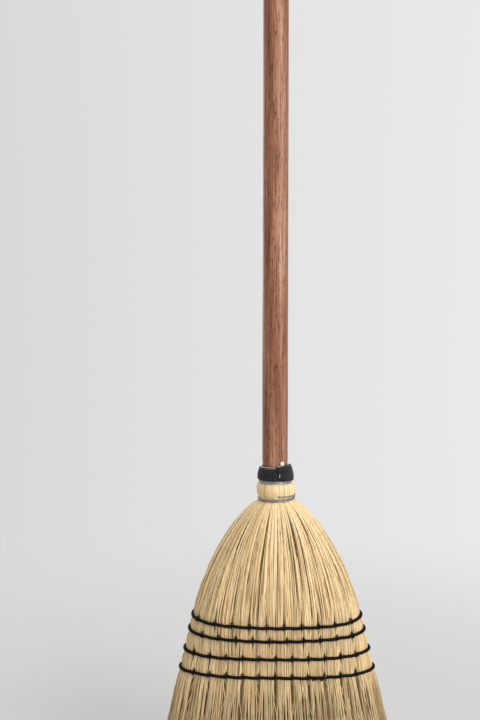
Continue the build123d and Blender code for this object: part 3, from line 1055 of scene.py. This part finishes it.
def neck_strip():
    """The black strip: one wrap and a lap, as a closed sheet on a grid of turn by width by face.

    Its angle runs from the lapped outer end at the front, right round and under itself. The outer end
    is cut on a slant, and the strip's top edge falls as it goes round. Its radius follows the wire
    under it, plus one thickness where it lies over its own start.
    """
    columns, rows = 420, 22
    thick = 1.0 * MM
    around, across = np.meshgrid(np.linspace(0, 1, columns), np.linspace(0, 1, rows), indexing="ij")
    slant = math.radians(-1) + math.radians(24) * (1 - across)
    lap_end = math.radians(125)
    finish = lap_end + 2 * np.pi
    angle = slant + (finish - slant) * around
    fall = np.clip((angle - math.radians(60)) / math.radians(230), 0, 1)
    top = band_high.z + 2.3 * MM - 2.6 * MM * fall * fall * (3 - 2 * fall)
    bottom = band_low.z - 0.5 * MM * np.sin(np.minimum(angle, np.pi)) + 0.2 * MM * np.sin(3 * angle)
    height = bottom + (top - bottom) * across
    under = np.interp(height, winding_outline[:, 0], winding_outline[:, 1])
    lifted = np.clip((lap_end - angle) / math.radians(20), 0, 1) * (thick + 0.15 * MM)
    crown = 0.5 * MM * np.clip(np.sin(np.pi * across), 0, 1) ** 0.6
    inner = under + 0.12 * MM + lifted + crown * 0.7
    rough = 0.10 * MM * np.sin(41 * angle + 9 * across) * np.sin(23 * across * np.pi + 3 * angle)
    outer = inner + thick + rough
    edge = np.minimum(across, 1 - across)
    pinch = thick * 0.45 * np.clip(1 - edge / 0.06, 0, 1) ** 2
    radius = np.stack([outer - pinch, inner + pinch])
    points = np.stack([radius * np.sin(angle), -radius * np.cos(angle), height + 0 * radius], -1)
    face, back = np.arange(2 * columns * rows).reshape(2, columns, rows)
    rims = ((face[:, 0], back[:, 0]), (back[:, -1], face[:, -1]), (back[0], face[0]), (face[-1], back[-1]))
    sheets = [face, back[:, ::-1]] + [np.stack(rim) for rim in rims]
    quads = [sheet_quads(sheet, wrapped=False) for sheet in sheets]
    return new_piece("neck_band_wrap", points.reshape(-1, 3), quads, band_finish())


band = neck_strip()
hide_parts("neck_band")
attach(band, "broom")


# ---- CAD pieces that keep their own shape ----


def refinish(node, material):
    """A new material on a CAD node, whose shape stays."""
    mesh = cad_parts[node].data
    mesh.materials.clear()
    mesh.materials.append(material)


refinish("handle", wood_finish())
for metal_node in ("finish_nail", "start_nail", "band_staple", "inner_binding_wire"):
    refinish(metal_node, bright_steel)


# ---- Floor, light and camera ----


floor_radius = 1.5
floor_grey = 0.50
floor_fade = (0.25, 1.35)


def floor():
    """A round pale floor, flat rings of points round its middle, that fades out towards its rim."""
    rings, spokes = 24, 96
    radius = np.linspace(0, floor_radius, rings)[1:, None]
    turn = 2 * np.pi * np.arange(spokes)[None, :] / spokes
    grid = np.stack([radius * np.cos(turn), radius * np.sin(turn), 0 * radius * turn], -1)
    points = np.concatenate([np.zeros((1, 3)), grid.reshape(-1, 3)])
    index = 1 + np.arange((rings - 1) * spokes).reshape(-1, spokes)
    fan = np.stack([0 * index[0], index[0], np.roll(index[0], -1)], -1)
    finish = Finish("pale_floor", roughness=0.9, specular=0.1)
    finish.shader.inputs["Base Color"].default_value = (floor_grey, floor_grey, floor_grey, 1)
    place = finish.node("ShaderNodeTexCoord")
    length = finish.node("ShaderNodeVectorMath", operation="LENGTH")
    finish.join(place.outputs["Object"], length.inputs[0])
    fade = finish.node("ShaderNodeMapRange", interpolation_type="SMOOTHSTEP")
    fade.inputs["From Min"].default_value = floor_fade[0]
    fade.inputs["From Max"].default_value = floor_fade[1]
    finish.join(length.outputs["Value"], fade.inputs["Value"])
    clear = finish.node("ShaderNodeBsdfTransparent")
    blend = finish.node("ShaderNodeMixShader")
    finish.join(fade.outputs["Result"], blend.inputs[0])
    finish.join(finish.shader.outputs[0], blend.inputs[1])
    finish.join(clear.outputs[0], blend.inputs[2])
    finish.join(blend.outputs[0], finish.tree.nodes["Material Output"].inputs["Surface"])
    return new_piece("floor", points, [fan, sheet_quads(index)], finish.material)


floor()


def soft_light(name, place, aim, size, power, colour=(1, 1, 1)):
    """A square softbox that faces its aim."""
    data = bpy.data.lights.new(name, "AREA")
    data.shape = "SQUARE"
    data.size = size
    data.energy = power
    data.color = colour
    light = bpy.data.objects.new(name, data)
    bpy.context.scene.collection.objects.link(light)
    light.location = place
    direction = np.array(aim) - np.array(place)
    light.rotation_euler = Vector(direction).to_track_quat("-Z", "Y").to_euler()


soft_light("window_light", (1.9, -2.0, 1.5), (0, 0, 0.5), size=1.8, power=70, colour=(1.0, 0.985, 0.96))
soft_light("room_fill", (-2.4, -1.6, 1.0), (0, 0, 0.5), size=2.0, power=12, colour=(1.0, 0.99, 0.97))
soft_light("back_light", (-1.2, 2.4, 1.6), (0, 0, 0.5), size=2.0, power=34)
soft_light("overhead", (0.2, -0.4, 3.0), (0, 0, 0.4), size=1.6, power=11)

room_greys = (0.66, 0.86)
room_reach = 0.45


def pale_room():
    """Even pale surroundings, whose grey rises with the direction's x, within room_reach either way."""
    world = bpy.data.worlds.new("pale_room")
    world.use_nodes = True
    tree = world.node_tree
    direction = tree.nodes.new("ShaderNodeTexCoord")
    parts = tree.nodes.new("ShaderNodeSeparateXYZ")
    grey = tree.nodes.new("ShaderNodeMapRange")
    grey.inputs["From Min"].default_value = -room_reach
    grey.inputs["From Max"].default_value = room_reach
    grey.inputs["To Min"].default_value = room_greys[0]
    grey.inputs["To Max"].default_value = room_greys[1]
    tree.links.new(direction.outputs["Generated"], parts.inputs[0])
    tree.links.new(parts.outputs["X"], grey.inputs["Value"])
    tree.links.new(grey.outputs["Result"], tree.nodes["Background"].inputs["Color"])
    return world


bpy.context.scene.world = pale_room()
bpy.context.scene.view_settings.view_transform = "Standard"

look_down = 2.3
camera_data = bpy.data.cameras.new("camera")
camera_data.lens = 40.0
camera_data.sensor_width = 36.0
camera = bpy.data.objects.new("camera", camera_data)
bpy.context.scene.collection.objects.link(camera)
camera.location = (-38.4 * MM, -872 * MM, 550.3 * MM)
camera.rotation_euler = (math.radians(90 - look_down), 0, 0)
bpy.context.scene.camera = camera
